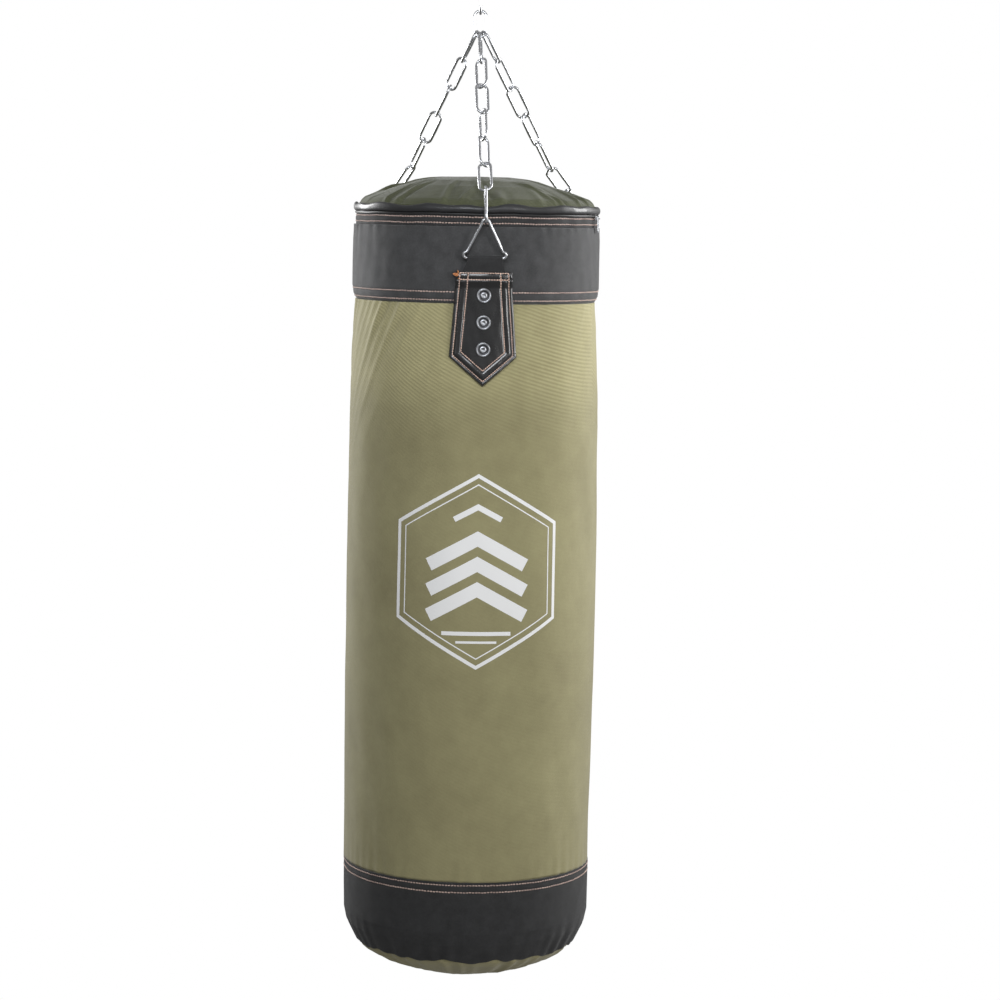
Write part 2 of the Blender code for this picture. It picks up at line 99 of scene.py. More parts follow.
def clamp(tree, value, low, high):
    made = node(tree, "ShaderNodeClamp")
    made.inputs["Min"].default_value = low
    made.inputs["Max"].default_value = high
    tree.links.new(value, made.inputs["Value"])
    return made.outputs[0]


def noise(tree, scale, detail=4, rough=0.6):
    made = node(tree, "ShaderNodeTexNoise")
    made.inputs["Scale"].default_value = scale
    made.inputs["Detail"].default_value = detail
    made.inputs["Roughness"].default_value = rough
    link(tree, node(tree, "ShaderNodeTexCoord"), "Object", made, "Vector")
    return made.outputs["Fac"]


def ramp(tree, value, stops):
    made = node(tree, "ShaderNodeValToRGB")
    points = made.color_ramp.elements
    while len(points) < len(stops):
        points.new(0.5)
    for point, (at, colour) in zip(points, stops):
        point.position = at
        point.color = (*colour, 1)
    tree.links.new(value, made.inputs["Fac"])
    return made.outputs["Color"]


def bump(tree, bsdf, height, strength, distance):
    made = node(tree, "ShaderNodeBump")
    made.inputs["Strength"].default_value = strength
    made.inputs["Distance"].default_value = distance
    tree.links.new(height, made.inputs["Height"])
    link(tree, made, "Normal", bsdf, "Normal")


def uv(tree):
    """The cloth's own coordinates in metres: along the cloth and up."""
    made = node(tree, "ShaderNodeUVMap", uv_map="cloth")
    split = node(tree, "ShaderNodeSeparateXYZ")
    link(tree, made, "UV", split, "Vector")
    return split.outputs["X"], split.outputs["Y"]


def wave(tree, value, period, phase=None):
    """A sine of the given period in metres."""
    turned = calc(tree, "MULTIPLY", value, 2 * math.pi / period)
    if phase is not None:
        turned = calc(tree, "ADD", turned, phase)
    return calc(tree, "SINE", turned)


THREAD_PITCH = 0.0011


def canvas_material(name, dark, light, sheen, ribs, strength=None):
    """Ribbed canvas. With no strength given, the ribs and a painted lighter tone, standing in for light from
    above, fade down from the top band.
    """
    mat, tree, bsdf = shader(name, light, 0.86)
    u, v = uv(tree)
    cloud = noise(tree, 5.5, 5, 0.62)
    mottle = noise(tree, 38, 5, 0.7)
    grain = noise(tree, 420, 3, 0.6)
    mixed = weigh(tree, (cloud, 0.62), (mottle, 0.26), (grain, 0.12))
    colour = ramp(tree, mixed, [(0.33, dark), (0.66, light)])
    # the ribs sag in a curve across the front and run straight beyond it
    near = clamp(tree, u, -0.2, 0.2)
    curve = calc(tree, "MULTIPLY", calc(tree, "MULTIPLY", near, near), -0.95)
    slant = calc(tree, "ADD", calc(tree, "MULTIPLY_ADD", u, 0.42, curve), calc(tree, "MULTIPLY", v, 0.9))
    drift = calc(tree, "MULTIPLY", noise(tree, 9, 3, 0.5), 7.0)
    fading = strength is None
    if fading:
        strength = clamp(tree, calc(tree, "MULTIPLY_ADD", v, 10.0, 3.1), 0.10, 1.0)
    rib = calc(tree, "MULTIPLY", wave(tree, slant, ribs, drift), strength)
    weave = calc(tree, "MULTIPLY", wave(tree, u, THREAD_PITCH), wave(tree, v, THREAD_PITCH))
    bump(tree, bsdf, weigh(tree, (rib, 0.5), (weave, 0.12), (mottle, 0.5)), 0.55, 0.0006)
    shade = calc(tree, "MULTIPLY_ADD", rib, 0.06, 0.97)
    mix = node(tree, "ShaderNodeMix", data_type="RGBA", blend_type="MULTIPLY")
    mix.inputs["Factor"].default_value = 1
    if fading:
        # painted light: the cloth is painted paler towards the top band, standing in for the light that falls
        # there from above
        painted_top_light = clamp(tree, calc(tree, "MULTIPLY_ADD", v, 5.0, 2.3), 1.0, 1.22)
        shade = calc(tree, "MULTIPLY", shade, painted_top_light)
    tree.links.new(colour, mix.inputs[6])
    tree.links.new(shade, mix.inputs[7])
    tree.links.new(mix.outputs[2], bsdf.inputs["Base Color"])
    bsdf.inputs["Sheen Weight"].default_value = sheen
    bsdf.inputs["Sheen Roughness"].default_value = 0.45
    bsdf.inputs["Specular IOR Level"].default_value = 0.18
    return mat


def woven_black(name, level, sheen=0.25, pitch=0.0012):
    mat, tree, bsdf = shader(name, (level, level, level), 0.82)
    u, v = uv(tree)
    weave = calc(tree, "MULTIPLY", wave(tree, u, pitch), wave(tree, v, pitch))
    lumps = noise(tree, 60, 4, 0.6)
    speck = noise(tree, 700, 2, 0.5)
    tone = weigh(tree, (lumps, 0.6), (speck, 0.4))
    low, high = level * 0.72, level * 1.35
    colour = ramp(tree, tone, [(0.3, (low, low, low)), (0.7, (high, high, high * 1.02))])
    tree.links.new(colour, bsdf.inputs["Base Color"])
    bump(tree, bsdf, weigh(tree, (weave, 0.5), (lumps, 0.8)), 0.5, 0.0004)
    bsdf.inputs["Sheen Weight"].default_value = sheen
    bsdf.inputs["Specular IOR Level"].default_value = 0.25
    return mat


def leather(name, level, rough, grain, coat=0.0):
    mat, tree, bsdf = shader(name, (level, level, level * 1.05), rough)
    cells = node(tree, "ShaderNodeTexVoronoi", feature="SMOOTH_F1")
    cells.inputs["Scale"].default_value = grain
    link(tree, node(tree, "ShaderNodeTexCoord"), "Object", cells, "Vector")
    creases = noise(tree, 45, 5, 0.65)
    height = calc(tree, "ADD", calc(tree, "MULTIPLY", cells.outputs["Distance"], 0.5), creases)
    bump(tree, bsdf, height, 0.45, 0.0005)
    varied = calc(tree, "MULTIPLY_ADD", creases, 0.25, rough - 0.12)
    tree.links.new(varied, bsdf.inputs["Roughness"])
    bsdf.inputs["Coat Weight"].default_value = coat
    bsdf.inputs["Coat Roughness"].default_value = 0.12
    return mat


def steel(name, colour, rough, marks=0.06):
    mat, tree, bsdf = shader(name, colour, rough, 1.0)
    wear = noise(tree, 160, 4, 0.6)
    varied = calc(tree, "MULTIPLY_ADD", wear, marks * 2, rough - marks)
    tree.links.new(varied, bsdf.inputs["Roughness"])
    bump(tree, bsdf, wear, 0.08, 0.0003)
    return mat


OLIVE = canvas_material("olive_canvas_look", (0.278, 0.250, 0.132), (0.395, 0.364, 0.196), 0.3, 0.0044)
LIDCLOTH = canvas_material("lid_canvas_look", (0.068, 0.073, 0.040), (0.118, 0.126, 0.072), 0.2, 0.0040, 0.35)
BASECLOTH = canvas_material("base_canvas_look", (0.32, 0.288, 0.155), (0.47, 0.43, 0.245), 0.3, 0.0046, 0.3)
BAND = woven_black("black_band_look", 0.058)
FOOT = woven_black("black_foot_look", 0.036, 0.15)
TAPE = woven_black("black_tape_look", 0.032, 0.15, 0.0016)
VINYL = leather("black_vinyl_look", 0.024, 0.46, 500, 0.2)
LEATHER = leather("black_leather_look", 0.006, 0.28, 900, 1.0)
ZINC = steel("zinc_look", (0.62, 0.63, 0.65), 0.28)
FORGED = steel("forged_look", (0.74, 0.75, 0.77), 0.32, 0.1)
NICKEL = steel("nickel_look", (0.42, 0.43, 0.45), 0.3, 0.05)
# near-black metal that paints the shade in the rivets' grooves
RIVET_GROOVE_SHADE = steel("rivet_groove_shade_look", (0.08, 0.08, 0.085), 0.4)
ZIPBLACK = shader("zip_look", (0.02, 0.02, 0.02), 0.45)[0]
INK, ink_tree, ink_bsdf = shader("white_print", (0.95, 0.95, 0.94), 0.7)
bump(ink_tree, ink_bsdf, noise(ink_tree, 900, 3, 0.6), 0.2, 0.0003)


def thread_material(name, light, dark):
    mat, tree, bsdf = shader(name, light, 0.6)
    tone = noise(tree, 55, 3, 0.6)
    tree.links.new(ramp(tree, tone, [(0.35, dark), (0.65, light)]), bsdf.inputs["Base Color"])
    bsdf.inputs["Sheen Weight"].default_value = 0.3
    return mat


THREAD = thread_material("thread_look", (0.66, 0.49, 0.42), (0.40, 0.28, 0.24))
STRAP_THREAD = thread_material("strap_thread_look", (0.86, 0.60, 0.47), (0.60, 0.42, 0.35))
KNOT_THREAD = thread_material("knot_thread_look", (0.75, 0.28, 0.08), (0.5, 0.18, 0.06))


# ---------------------------------------------------------------- meshes
def make(name, points, faces, mat, body, smooth=True, uvs=None):
    """A piece from millimetre stations; uvs are metres, one for each vertex."""
    points = np.asarray(points, float).reshape(-1, 3) / 1000
    points[:, 2] -= HANG_Z / 1000
    mesh = bpy.data.meshes.new(name)
    mesh.from_pydata(points.tolist(), [], faces)
    if uvs is not None:
        layer = mesh.uv_layers.new(name="cloth")
        index = np.empty(len(mesh.loops), np.int32)
        mesh.loops.foreach_get("vertex_index", index)
        layer.data.foreach_set("uv", np.asarray(uvs, np.float32).reshape(-1, 2)[index].ravel())
    if smooth:
        mesh.shade_smooth()
    mesh.materials.append(mat)
    obj = bpy.data.objects.new(name, mesh)
    bpy.context.collection.objects.link(obj)
    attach(obj, body)
    return obj


def grid_faces(rows, columns, wrap, offset=0, flip=False):
    last = columns if wrap else columns - 1
    faces = []
    for i in range(rows - 1):
        for j in range(last):
            k = (j + 1) % columns
            quad = (
                offset + i * columns + j,
                offset + (i + 1) * columns + j,
                offset + (i + 1) * columns + k,
                offset + i * columns + k,
            )
            faces.append(quad[::-1] if flip else quad)
    return faces


def spin(name, radius, height, theta, mat):
    """A surface round the bag from radius and height arrays of rows by columns; rows run downwards."""
    height = np.broadcast_to(height, radius.shape)
    points = np.stack([radius * np.sin(theta), -radius * np.cos(theta), height], -1)
    uvs = np.stack([theta * CLOTH_RADIUS + np.zeros_like(radius), height / 1000], -1)
    return make(name, points, grid_faces(*radius.shape, False), mat, "bag", uvs=uvs)


def ring_angles(count=ROUND_COLUMNS):
    """Angles all the way round, with the first repeated at the back so that coordinates don't wrap."""
    return np.linspace(-math.pi, math.pi, count + 1)[None, :]


def lathe(name, profile, mat, body, centre=(0, 0, 0), axis="Z", segments=48):
    """Revolves (radius, height) points about Z, Y or (axis, side, side) directions through centre."""
    points = []
    for r, h in profile:
        for k in range(segments):
            a = 2 * math.pi * k / segments
            local = (r * math.cos(a), r * math.sin(a), h)
            if axis == "Y":
                local = (r * math.cos(a), h, r * math.sin(a))
            if isinstance(axis, tuple):
                out, flat, up = axis
                local = out * h + flat * (r * math.cos(a)) + up * (r * math.sin(a))
            points.append(np.array(local) + np.array(centre))
    faces = grid_faces(len(profile), segments, True)
    return make(name, points, faces, mat, body)


def tube_points(path, radius, cyclic, sides, radii=None, normal=None):
    path = np.asarray(path, float)
    count = len(path)
    if cyclic:
        tangent = np.roll(path, -1, 0) - np.roll(path, 1, 0)
    else:
        tangent = np.gradient(path, axis=0)
    tangent /= np.linalg.norm(tangent, axis=1)[:, None]
    if normal is None:
        centre = path.mean(0)
        normal = np.cross(path[:-1] - centre, path[1:] - centre).sum(0)
        if np.linalg.norm(normal) < 1e-3:
            normal = np.cross(tangent[0], (0.31, 0.42, 0.85))
    normal = np.asarray(normal, float) / np.linalg.norm(normal)
    side = normal - tangent * (tangent @ normal)[:, None]
    side /= np.linalg.norm(side, axis=1)[:, None]
    out = np.cross(tangent, side)
    radii = np.full(count, radius) if radii is None else np.asarray(radii, float)
    angle = 2 * np.pi * np.arange(sides) / sides
    ring = side[:, None] * np.cos(angle)[None, :, None] + out[:, None] * np.sin(angle)[None, :, None]
    points = path[:, None] + ring * radii[:, None, None]
    return points.reshape(-1, 3)


def tube_faces(count, sides, cyclic):
    faces = []
    for i in range(count if cyclic else count - 1):
        a, b = i * sides, (i + 1) % count * sides
        for k in range(sides):
            n = (k + 1) % sides
            faces.append((a + k, a + n, b + n, b + k))
    if not cyclic:
        faces.append(tuple(reversed(range(sides))))
        faces.append(tuple((count - 1) * sides + k for k in range(sides)))
    return faces


def tube(name, path, radius, mat, body, cyclic=True, sides=14, radii=None, normal=None):
    points = tube_points(path, radius, cyclic, sides, radii, normal)
    return make(name, points, tube_faces(len(path), sides, cyclic), mat, body)


def curve_through(points, steps=8):
    """A smooth open curve through points (Catmull-Rom)."""
    p = np.asarray(points, float)
    p = np.vstack([2 * p[0] - p[1], p, 2 * p[-1] - p[-2]])
    out = []
    for i in range(1, len(p) - 2):
        for s in range(steps):
            t = s / steps
            a, b, c, d = p[i - 1 : i + 3]
            square, cube = 2 * a - 5 * b + 4 * c - d, 3 * b - a - 3 * c + d
            out.append(0.5 * (2 * b + (c - a) * t + square * t**2 + cube * t**3))
    out.append(p[-2])
    return np.array(out)


def smooth_step(x):
    x = np.clip(x, 0, 1)
    return x * x * (3 - 2 * x)


def waves(theta, z, terms, low, high, tall, seed):
    """Smooth seeded unevenness: whole numbers of waves round the bag, 'tall' millimetres or more up it."""
    r = np.random.default_rng(seed)
    total = np.zeros(np.broadcast(theta, z).shape)
    for _ in range(terms):
        k = r.integers(low, high + 1)
        rise = z * r.uniform(-1, 1) * 2 * math.pi / tall
        total = total + np.cos(k * theta + rise + r.uniform(0, 6.28)) * r.uniform(0.4, 1)
    return total / math.sqrt(terms)


def ripples(theta, terms, low, high, seed):
    """Unevenness that varies round the bag and not up it."""
    return waves(theta, 0 * theta, terms, low, high, 1, seed)


# ---------------------------------------------------------------- the bag's surface
SIDE = np.array(
    [(BAND_TOP, 157.4), (-45, 158.6), (-106, 158.9), (-116.4, 157.4), (-123.4, 154.2), (-132.4, 155.0)]
    + [(-155, 156.9), (-181, 158.2), (-230, 160.0), (-285, 161.3), (-450, 162.4), (-620, 162.8)]
    + [(-800, 161.0), (-890, 160.5), (-922, 160.0), (-938, 156.6), (HEM_Z, 144.6), (-971.0, 135.6)]
)


def side(z):
    """The bag's even radius at a station, without its unevenness."""
    return np.interp(-np.asarray(z, float), -SIDE[:, 0], SIDE[:, 1])


def seam_dents(z, rows, depth, width):
    """The dents that two rows of stitches pull into the cloth."""
    return sum(-depth * np.exp(-(((z - row) / width) ** 2)) for row in rows)


def canvas_r(theta, z):
    """The canvas: gathers under the band, broad unevenness, folds, drag lines and puckers at its foot."""
    down = BAND_END - z
    left = np.clip(-np.sin(theta) * 1.2, 0, 1)
    pull = np.exp(-np.clip(down, 0, None) / (20 + 46 * left))
    gather = ripples(theta + 0.0032 * down, 9, 30, 64, 3) * (0.35 + 1.35 * left) * pull
    gather = np.where(gather > 0, gather * 1.5, gather * 0.7)
    broad = 0.75 * waves(theta, z, 10, 1, 7, 420, 4)
    folds = 0.38 * waves(theta + z * 0.0011, z, 14, 6, 22, 160, 5)
    drag = 0.5 * waves(theta - z * 0.004, z, 8, 9, 26, 90, 6) * np.exp(-np.clip(down - 40, 0, None) / 120)
    foot = np.exp(-np.clip(z - CANVAS_END, 0, None) / 22)
    hem = 0.55 * ripples(theta, 8, 30, 70, 8) * foot
    return side(z) + gather + broad + folds + drag + hem


def band_r(theta, z):
    """The top band, dented by its seams and pleated where the tape holds it."""
    soft = 0.45 * waves(theta, z, 10, 2, 10, 240, 12)
    crease = 0.3 * waves(theta, z, 12, 14, 44, 70, 13)
    seams = seam_dents(z, BAND_ROWS, 0.9, 1.6)
    lip = -1.1 * smooth_step((-120.3 - z) / 2.4)
    top = np.exp(-np.clip(BAND_TOP - z, 0, None) / 9)
    pleats = 0.8 * ripples(theta, 9, 36, 70, 14) * top
    return side(z) + 0.7 + soft + crease + seams + lip + pleats


def bottom_r(theta, z):
    """The bottom band, gathered towards its hem."""
    soft = 0.4 * waves(theta, z, 10, 2, 9, 260, 22)
    crease = 0.22 * waves(theta, z, 12, 12, 40, 60, 23)
    seams = seam_dents(z, FOOT_ROWS, 0.8, 1.5)
    hem = smooth_step((-905 - z) / 52)
    gathers = ripples(theta, 11, 26, 60, 24) * hem * 1.3
    return side(z) + 0.6 + soft + crease + seams + gathers


def hem_sway(theta):
    """The turned hem isn't level: the base's puckers push it up and let it down."""
    lobes = ripples(theta, 7, 9, 19, 25)
    return 2.4 * lobes + 1.3 * ripples(theta, 8, 24, 44, 26) - 0.8


def turned_edge(radius, height, depth=2.2):
    """Adds rows that turn a sleeve's edges inwards, so that it reads as cloth with a thickness."""
    first, last = radius[:1], radius[-1:]
    rows = [first - depth, first - 0.35 * depth, radius, last - 0.35 * depth, last - depth]
    top, foot = height[:1], height[-1:]
    heights = [top - 0.6, top + 0.15, height, foot - 0.15, foot + 0.6]
    return np.vstack(rows), np.vstack(heights)


def sleeve(name, surface, top, foot, count, columns, mat, sway=None):
    """A tube of cloth; sway(theta) moves its foot up and down."""
    theta = ring_angles(columns)
    z = np.linspace(top, foot, count)[:, None] + 0 * theta
    if sway is not None:
        z = z + sway(theta) * smooth_step(1 - (z - foot) / 45)
    radius, height = turned_edge(surface(theta, z), z)
    return spin(name, radius, height, theta, mat)


canvas = sleeve("canvas_skin", canvas_r, BAND_END - 0.6, CANVAS_END, 260, 420, OLIVE)
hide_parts("canvas_body")
band = sleeve("top_band_skin", band_r, BAND_TOP, BAND_END, 70, 420, BAND)
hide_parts("top_band")
foot_band = sleeve(
    "bottom_band_skin", bottom_r, CANVAS_END - 0.4, HEM_Z, 90, ROUND_COLUMNS, FOOT, hem_sway
)
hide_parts("bottom_band")

# ---------------------------------------------------------------- lid and base
LID = np.array(
    [(0, 36), (45, 34.8), (80, 30.6), (104, 24.2), (121.5, 17.4), (134.4, 12.2), (144.5, 8.0)]
    + [(149.6, 3.6), (152.2, -0.5), (153.0, -6.0)]
)
BASE = np.array(
    [(143.0, -953.0), (143.4, -958.8), (141.4, -964.0), (134, -970.6), (118, -980.4), (98, -989)]
    + [(76, -996.2), (50, -1002), (26, -1004.8), (0, -1005.6)]
)
DISC_ROWS = 90


def along_profile(profile):
    """Radius and height at even steps along a profile's length, as columns."""
    length = np.concatenate([[0], np.cumsum(np.hypot(*np.diff(profile, axis=0).T))])
    s = np.linspace(0.0, 1.0, DISC_ROWS)[:, None] * length[-1]
    return np.interp(s, length, profile[:, 0]), np.interp(s, length, profile[:, 1])


def disc(name, radius, height, theta, mat):
    """A round sheet of cloth, whose coordinates are its plan view."""
    x, y = radius * np.sin(theta), -radius * np.cos(theta)
    uvs = np.stack([x / 1000, y / 1000], -1)
    faces = grid_faces(*height.shape, False)
    return make(name, np.stack([x, y, height], -1), faces, mat, "bag", uvs=uvs)


def lid_pleats(theta, r):
    """Seeded folds that run in from the lid's sewn edge, each a ridge with a valley beside it."""
    relief = np.zeros(np.broadcast(theta, r).shape)
    draw = np.random.default_rng(31)
    for _ in range(46):
        at = draw.uniform(-math.pi, math.pi)
        width = draw.uniform(0.018, 0.06)
        begin = draw.uniform(30, 118)
        bend = draw.uniform(-0.0035, 0.0035)
        tall = draw.uniform(0.7, 2.3)
        off = (theta - at - bend * (r - 150) + math.pi) % (2 * math.pi) - math.pi
        spread = width * (1.15 - 0.5 * smooth_step((r - begin) / 60))
        rise = smooth_step((r - begin) / 35) * (1 - 0.5 * smooth_step((r - 147) / 6))
        ridge = np.exp(-((off / spread) ** 2))
        valley = 0.55 * np.exp(-(((off - 1.5 * spread) / (0.9 * spread)) ** 2))
        relief += tall * rise * (ridge - valley)
    return relief


theta = ring_angles()
lid_r, lid_z = along_profile(LID)
relief = lid_pleats(theta, lid_r)
inner_part = smooth_step(lid_r / 60) * (1 - smooth_step((lid_r - 140) / 14))
relief += 0.9 * waves(theta, lid_r, 12, 2, 9, 110, 32) * inner_part
lid_height = lid_z + (relief - 1.6 * smooth_step((lid_r - 60) / 40)) * (lid_r < 151.5)
lid_spread = lid_r + 0.25 * relief * smooth_step((lid_r - 130) / 20)
lid = disc("lid_skin", lid_spread, lid_height, theta, LIDCLOTH)
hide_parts("top_lid")

base_r, base_z = along_profile(BASE)
edge = smooth_step((base_r - 62) / 60) * smooth_step((-955 - base_z) / 3)
pucker = 1.9 * ripples(theta, 12, 20, 50, 41) * edge
pucker = np.where(pucker > 0, pucker * 1.25, pucker * 0.7)
pucker = pucker + 0.7 * waves(theta, base_r, 10, 2, 8, 120, 42) * smooth_step(base_r / 50)
base = disc("base_skin", base_r + 0.4 * pucker * edge, base_z - 0.75 * pucker, theta, BASECLOTH)
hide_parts("base_panel")

# ---------------------------------------------------------------- rim: rolled piping, zip and binding
def rim_wobble(theta):
    """How far the sewn rim wanders from level."""
    return 0.9 * ripples(theta, 12, 3, 22, 51)


wobble = rim_wobble(theta)
fat = 0.5 * ripples(theta, 10, 12, 48, 52)
turns = np.linspace(0, 2 * math.pi, 25)[:, None]
crown = np.clip(-np.sin(turns), 0, 1)
roll_r = 155.6 + (3.5 + 0.4 * fat) * np.cos(turns) + 0.25 * wobble
roll_z = -5.6 + wobble * (0.5 + 1.5 * crown) - (4.9 + 0.6 * fat) * np.sin(turns)
piping = spin("rim_piping_skin", roll_r, roll_z, theta, VINYL)
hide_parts("rim_piping")

ZIP_R, ZIP_Z, ZIP_HALF = 155.9, -12.3, 1.5
roll_r = ZIP_R + ZIP_HALF * np.cos(turns) + 0 * wobble
roll_z = ZIP_Z + wobble * 0.35 - ZIP_HALF * np.sin(turns)
coil = spin("zip_coil_skin", roll_r, roll_z, theta, ZIPBLACK)
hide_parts("zip_coil")


def binding_r(theta, z):
    puff = 1.1 * np.sin(np.clip((z - TAPE_FOOT) / 13.6, 0, 1) * math.pi) ** 0.6
    rows = seam_dents(z, RIM_ROWS, 0.9, 1.3)
    return 155.6 + puff + rows + 0.45 * ripples(theta, 12, 5, 40, 53)


binding = sleeve("binding_skin", binding_r, TAPE_TOP, TAPE_FOOT, 26, ROUND_COLUMNS, TAPE)
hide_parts("binding_tape")

# ---------------------------------------------------------------- stitches
BEAD_ROWS, BEAD_SIDES = 5, 6
BEAD = []
for along, r in ((-1, 0.25), (-0.62, 0.85), (0, 1), (0.62, 0.85), (1, 0.25)):
    for k in range(BEAD_SIDES):
        a = 2 * math.pi * k / BEAD_SIDES
        BEAD.append((along, r * math.cos(a), r * math.sin(a)))
BEAD = np.array(BEAD)
BEAD_FACES = tube_faces(BEAD_ROWS, BEAD_SIDES, False)


def stitches(name, places, alongs, outs, mat, body, long=1.72, thick=0.95):
    """One mesh of thread stitches, each lying along the seam and sunk a little at its ends."""
    places, alongs, outs = (np.asarray(v, float) for v in (places, alongs, outs))
    alongs = alongs / np.linalg.norm(alongs, axis=1)[:, None]
    outs = outs - alongs * (outs * alongs).sum(1)[:, None]
    outs /= np.linalg.norm(outs, axis=1)[:, None]
    sides = np.cross(alongs, outs)
    dip = -0.28 * BEAD[:, 0] ** 2
    points = (
        places[:, None]
        + alongs[:, None] * (BEAD[:, 0] * long)[None, :, None]
        + sides[:, None] * (BEAD[:, 1] * thick)[None, :, None]
        + outs[:, None] * (BEAD[:, 2] * thick + dip)[None, :, None]
    )
    faces = []
    for i in range(len(places)):
        faces += [tuple(v + i * len(BEAD) for v in face) for face in BEAD_FACES]
    return make(name, points, faces, mat, body)


def stitch_ring(name, surface, z, sway=None, count=262):
    """A row of stitches all the way round a surface, a little uneven, raised or lowered by sway(theta)."""
    r = np.random.default_rng(abs(int(z * 10)))
    theta = np.linspace(-math.pi, math.pi, count, endpoint=False) + r.normal(0, 0.0007, count)
    height = z + r.normal(0, 0.12, count)
    if sway is not None:
        height = height + sway(theta)
    radius = surface(theta, height) + 0.35
    places = np.stack([radius * np.sin(theta), -radius * np.cos(theta), height], -1)
    outs = np.stack([np.sin(theta), -np.cos(theta), theta * 0], -1)
    alongs = np.stack([np.cos(theta), np.sin(theta), r.normal(0, 0.05, count)], -1)
    stitches(name, places, alongs, outs, THREAD, "bag")


def rim_sway(theta):
    return 0.35 * rim_wobble(theta)


SEAMS = {
    "rim": (binding_r, RIM_ROWS, rim_sway),
    "band": (band_r, BAND_ROWS, None),
    "foot": (bottom_r, FOOT_ROWS, None),
}
for seam, (surface, rows, sway) in SEAMS.items():
    for which, row in zip(("upper", "lower"), rows):
        stitch_ring(f"stitches_{seam}_{which}", surface, row, sway)


# ---------------------------------------------------------------- printed mark (generic)
MARK_AT = (math.radians(3.4), -458.0)
MARK_RADIUS = 162.4


def on_canvas(x, z, lift):
    theta = MARK_AT[0] + x / MARK_RADIUS
    height = MARK_AT[1] + z
    r = canvas_r(theta, height) + lift
    return np.stack([r * np.sin(theta), -r * np.cos(theta), height + 0 * theta], -1)


MARK_POINTS, MARK_FACES = [], []


def stroke(corners, width, closed):
    """A printed line of even width through corners, mitred, laid on the canvas."""
    p = np.array(corners, float)
    count = len(p)
    left = []
    for i in range(count):
        a = p[i] - p[i - 1] if closed or i else p[1] - p[0]
        b = p[(i + 1) % count] - p[i] if closed or i + 1 < count else a
        if i == 0 and not closed:
            a = b
        a, b = a / np.linalg.norm(a), b / np.linalg.norm(b)
        n = np.array([-(a + b)[1], (a + b)[0]])
        n /= np.linalg.norm(n)
        left.append(n * width / 2 / max(0.3, n @ np.array([-b[1], b[0]])))
    left = np.array(left)
    for i in range(count if closed else count - 1):
        j = (i + 1) % count
        steps = max(2, int(np.linalg.norm(p[j] - p[i]) / 3))
        t = np.linspace(0, 1, steps + 1)[:, None]
        middle = p[i] + (p[j] - p[i]) * t
        offset = left[i] + (left[j] - left[i]) * t
        rows = [middle + offset * k for k in (-1, -0.5, 0, 0.5, 1)]
        flat = np.stack(rows, 0).reshape(-1, 2)
        start = sum(len(q) for q in MARK_POINTS)
        MARK_POINTS.append(on_canvas(flat[:, 0], flat[:, 1], 0.16))
        MARK_FACES.extend(grid_faces(5, steps + 1, False, start))


def hexagon(r):
    return [(r * math.cos(math.radians(a)), r * math.sin(math.radians(a))) for a in range(30, 390, 60)]


stroke(hexagon(121), 4.4, True)
stroke(hexagon(110), 1.5, True)
for level in (30, -2, -34):
    stroke([(-62, level - 22), (0, level + 12), (62, level - 22)], 17, False)
stroke([(-30, 66), (0, 82), (30, 66)], 7, False)
stroke([(-44, -78), (44, -78)], 5, False)
stroke([(-26, -89), (26, -89)], 3, False)
make("printed_mark", np.vstack(MARK_POINTS), MARK_FACES, INK, "bag")


# ---------------------------------------------------------------- straps
def frame_at(azimuth):
    """Outward, sideways and up, at an angle round the bag in degrees."""
    a = math.radians(azimuth)
    return np.array([math.sin(a), -math.cos(a), 0]), np.array([math.cos(a), math.sin(a), 0]), UP


UP = np.array([0, 0, 1.0])
STRAP_ROWS = ((-82.8, 34.8), (-189.0, 43.5), (-225.4, 0.6))
(TOP_Z, TOP_HALF), (SHOULDER_Z, SHOULDER_HALF), (TIP_Z, TIP_HALF) = STRAP_ROWS
STRAP_RADIUS = 162.5
OUTER_ROW, INNER_ROW = 5.2, 15.2
CROSS_ROWS = (1.8, 10.0)
LIE = np.array(
    [(TOP_Z, 163.2), (-94.5, 162.9), (-102.5, 159.9), (-124, 159.5), (-150, 159.4)]
    + [(-176, 159.6), (SHOULDER_Z, 159.8), (-208, 160.6), (TIP_Z, 161.4)]
)


def half_width(z):
    return np.interp(-z, [-r[0] for r in STRAP_ROWS], [r[1] for r in STRAP_ROWS])


def inset(x, z):
    """Distance inside the strap's outline from its sides and tip."""
    x = np.abs(x)

    def off(p, q):
        (z0, x0), (z1, x1) = p, q
        return (x0 - x + (x1 - x0) * (z - z0) / (z1 - z0)) * abs(z1 - z0) / math.hypot(z1 - z0, x1 - x0)

    return np.minimum(off(STRAP_ROWS[0], STRAP_ROWS[1]), off(STRAP_ROWS[1], STRAP_ROWS[2]))


def strap_rise(x, z, seed):
    """The strap's height off the bag: padded between its rows of stitches, which sink into it."""
    d = inset(x, z)
    top = TOP_Z - z
    edge = smooth_step(np.minimum(d, top + 0.4) / 1.3)
    border = np.sin(np.clip((d - OUTER_ROW) / (INNER_ROW - OUTER_ROW), 0, 1) * math.pi) ** 0.8
    rise = 2.5 * edge
    rise = rise + 0.55 * np.sin(np.clip(d / OUTER_ROW, 0, 1) * math.pi)
    rise = rise + 1.6 * border * smooth_step((top - 6) / 10)
    rise = rise + seam_dents(d, (OUTER_ROW, INNER_ROW), 0.55, 0.9)
    rise = rise + seam_dents(top, CROSS_ROWS[:1], 0.7, 0.8) + seam_dents(top, CROSS_ROWS[1:], 0.7, 0.9)
    rise = rise + 0.5 * np.exp(-(((top - 6) / 2.5) ** 2))
    crease = 0.22 * waves(x / 9 + seed, z, 10, 1, 3, 60, 60 + seed)
    crease = crease + 0.12 * waves(x / 5 + seed, z, 10, 1, 4, 22, 70 + seed)
    return rise + crease * edge


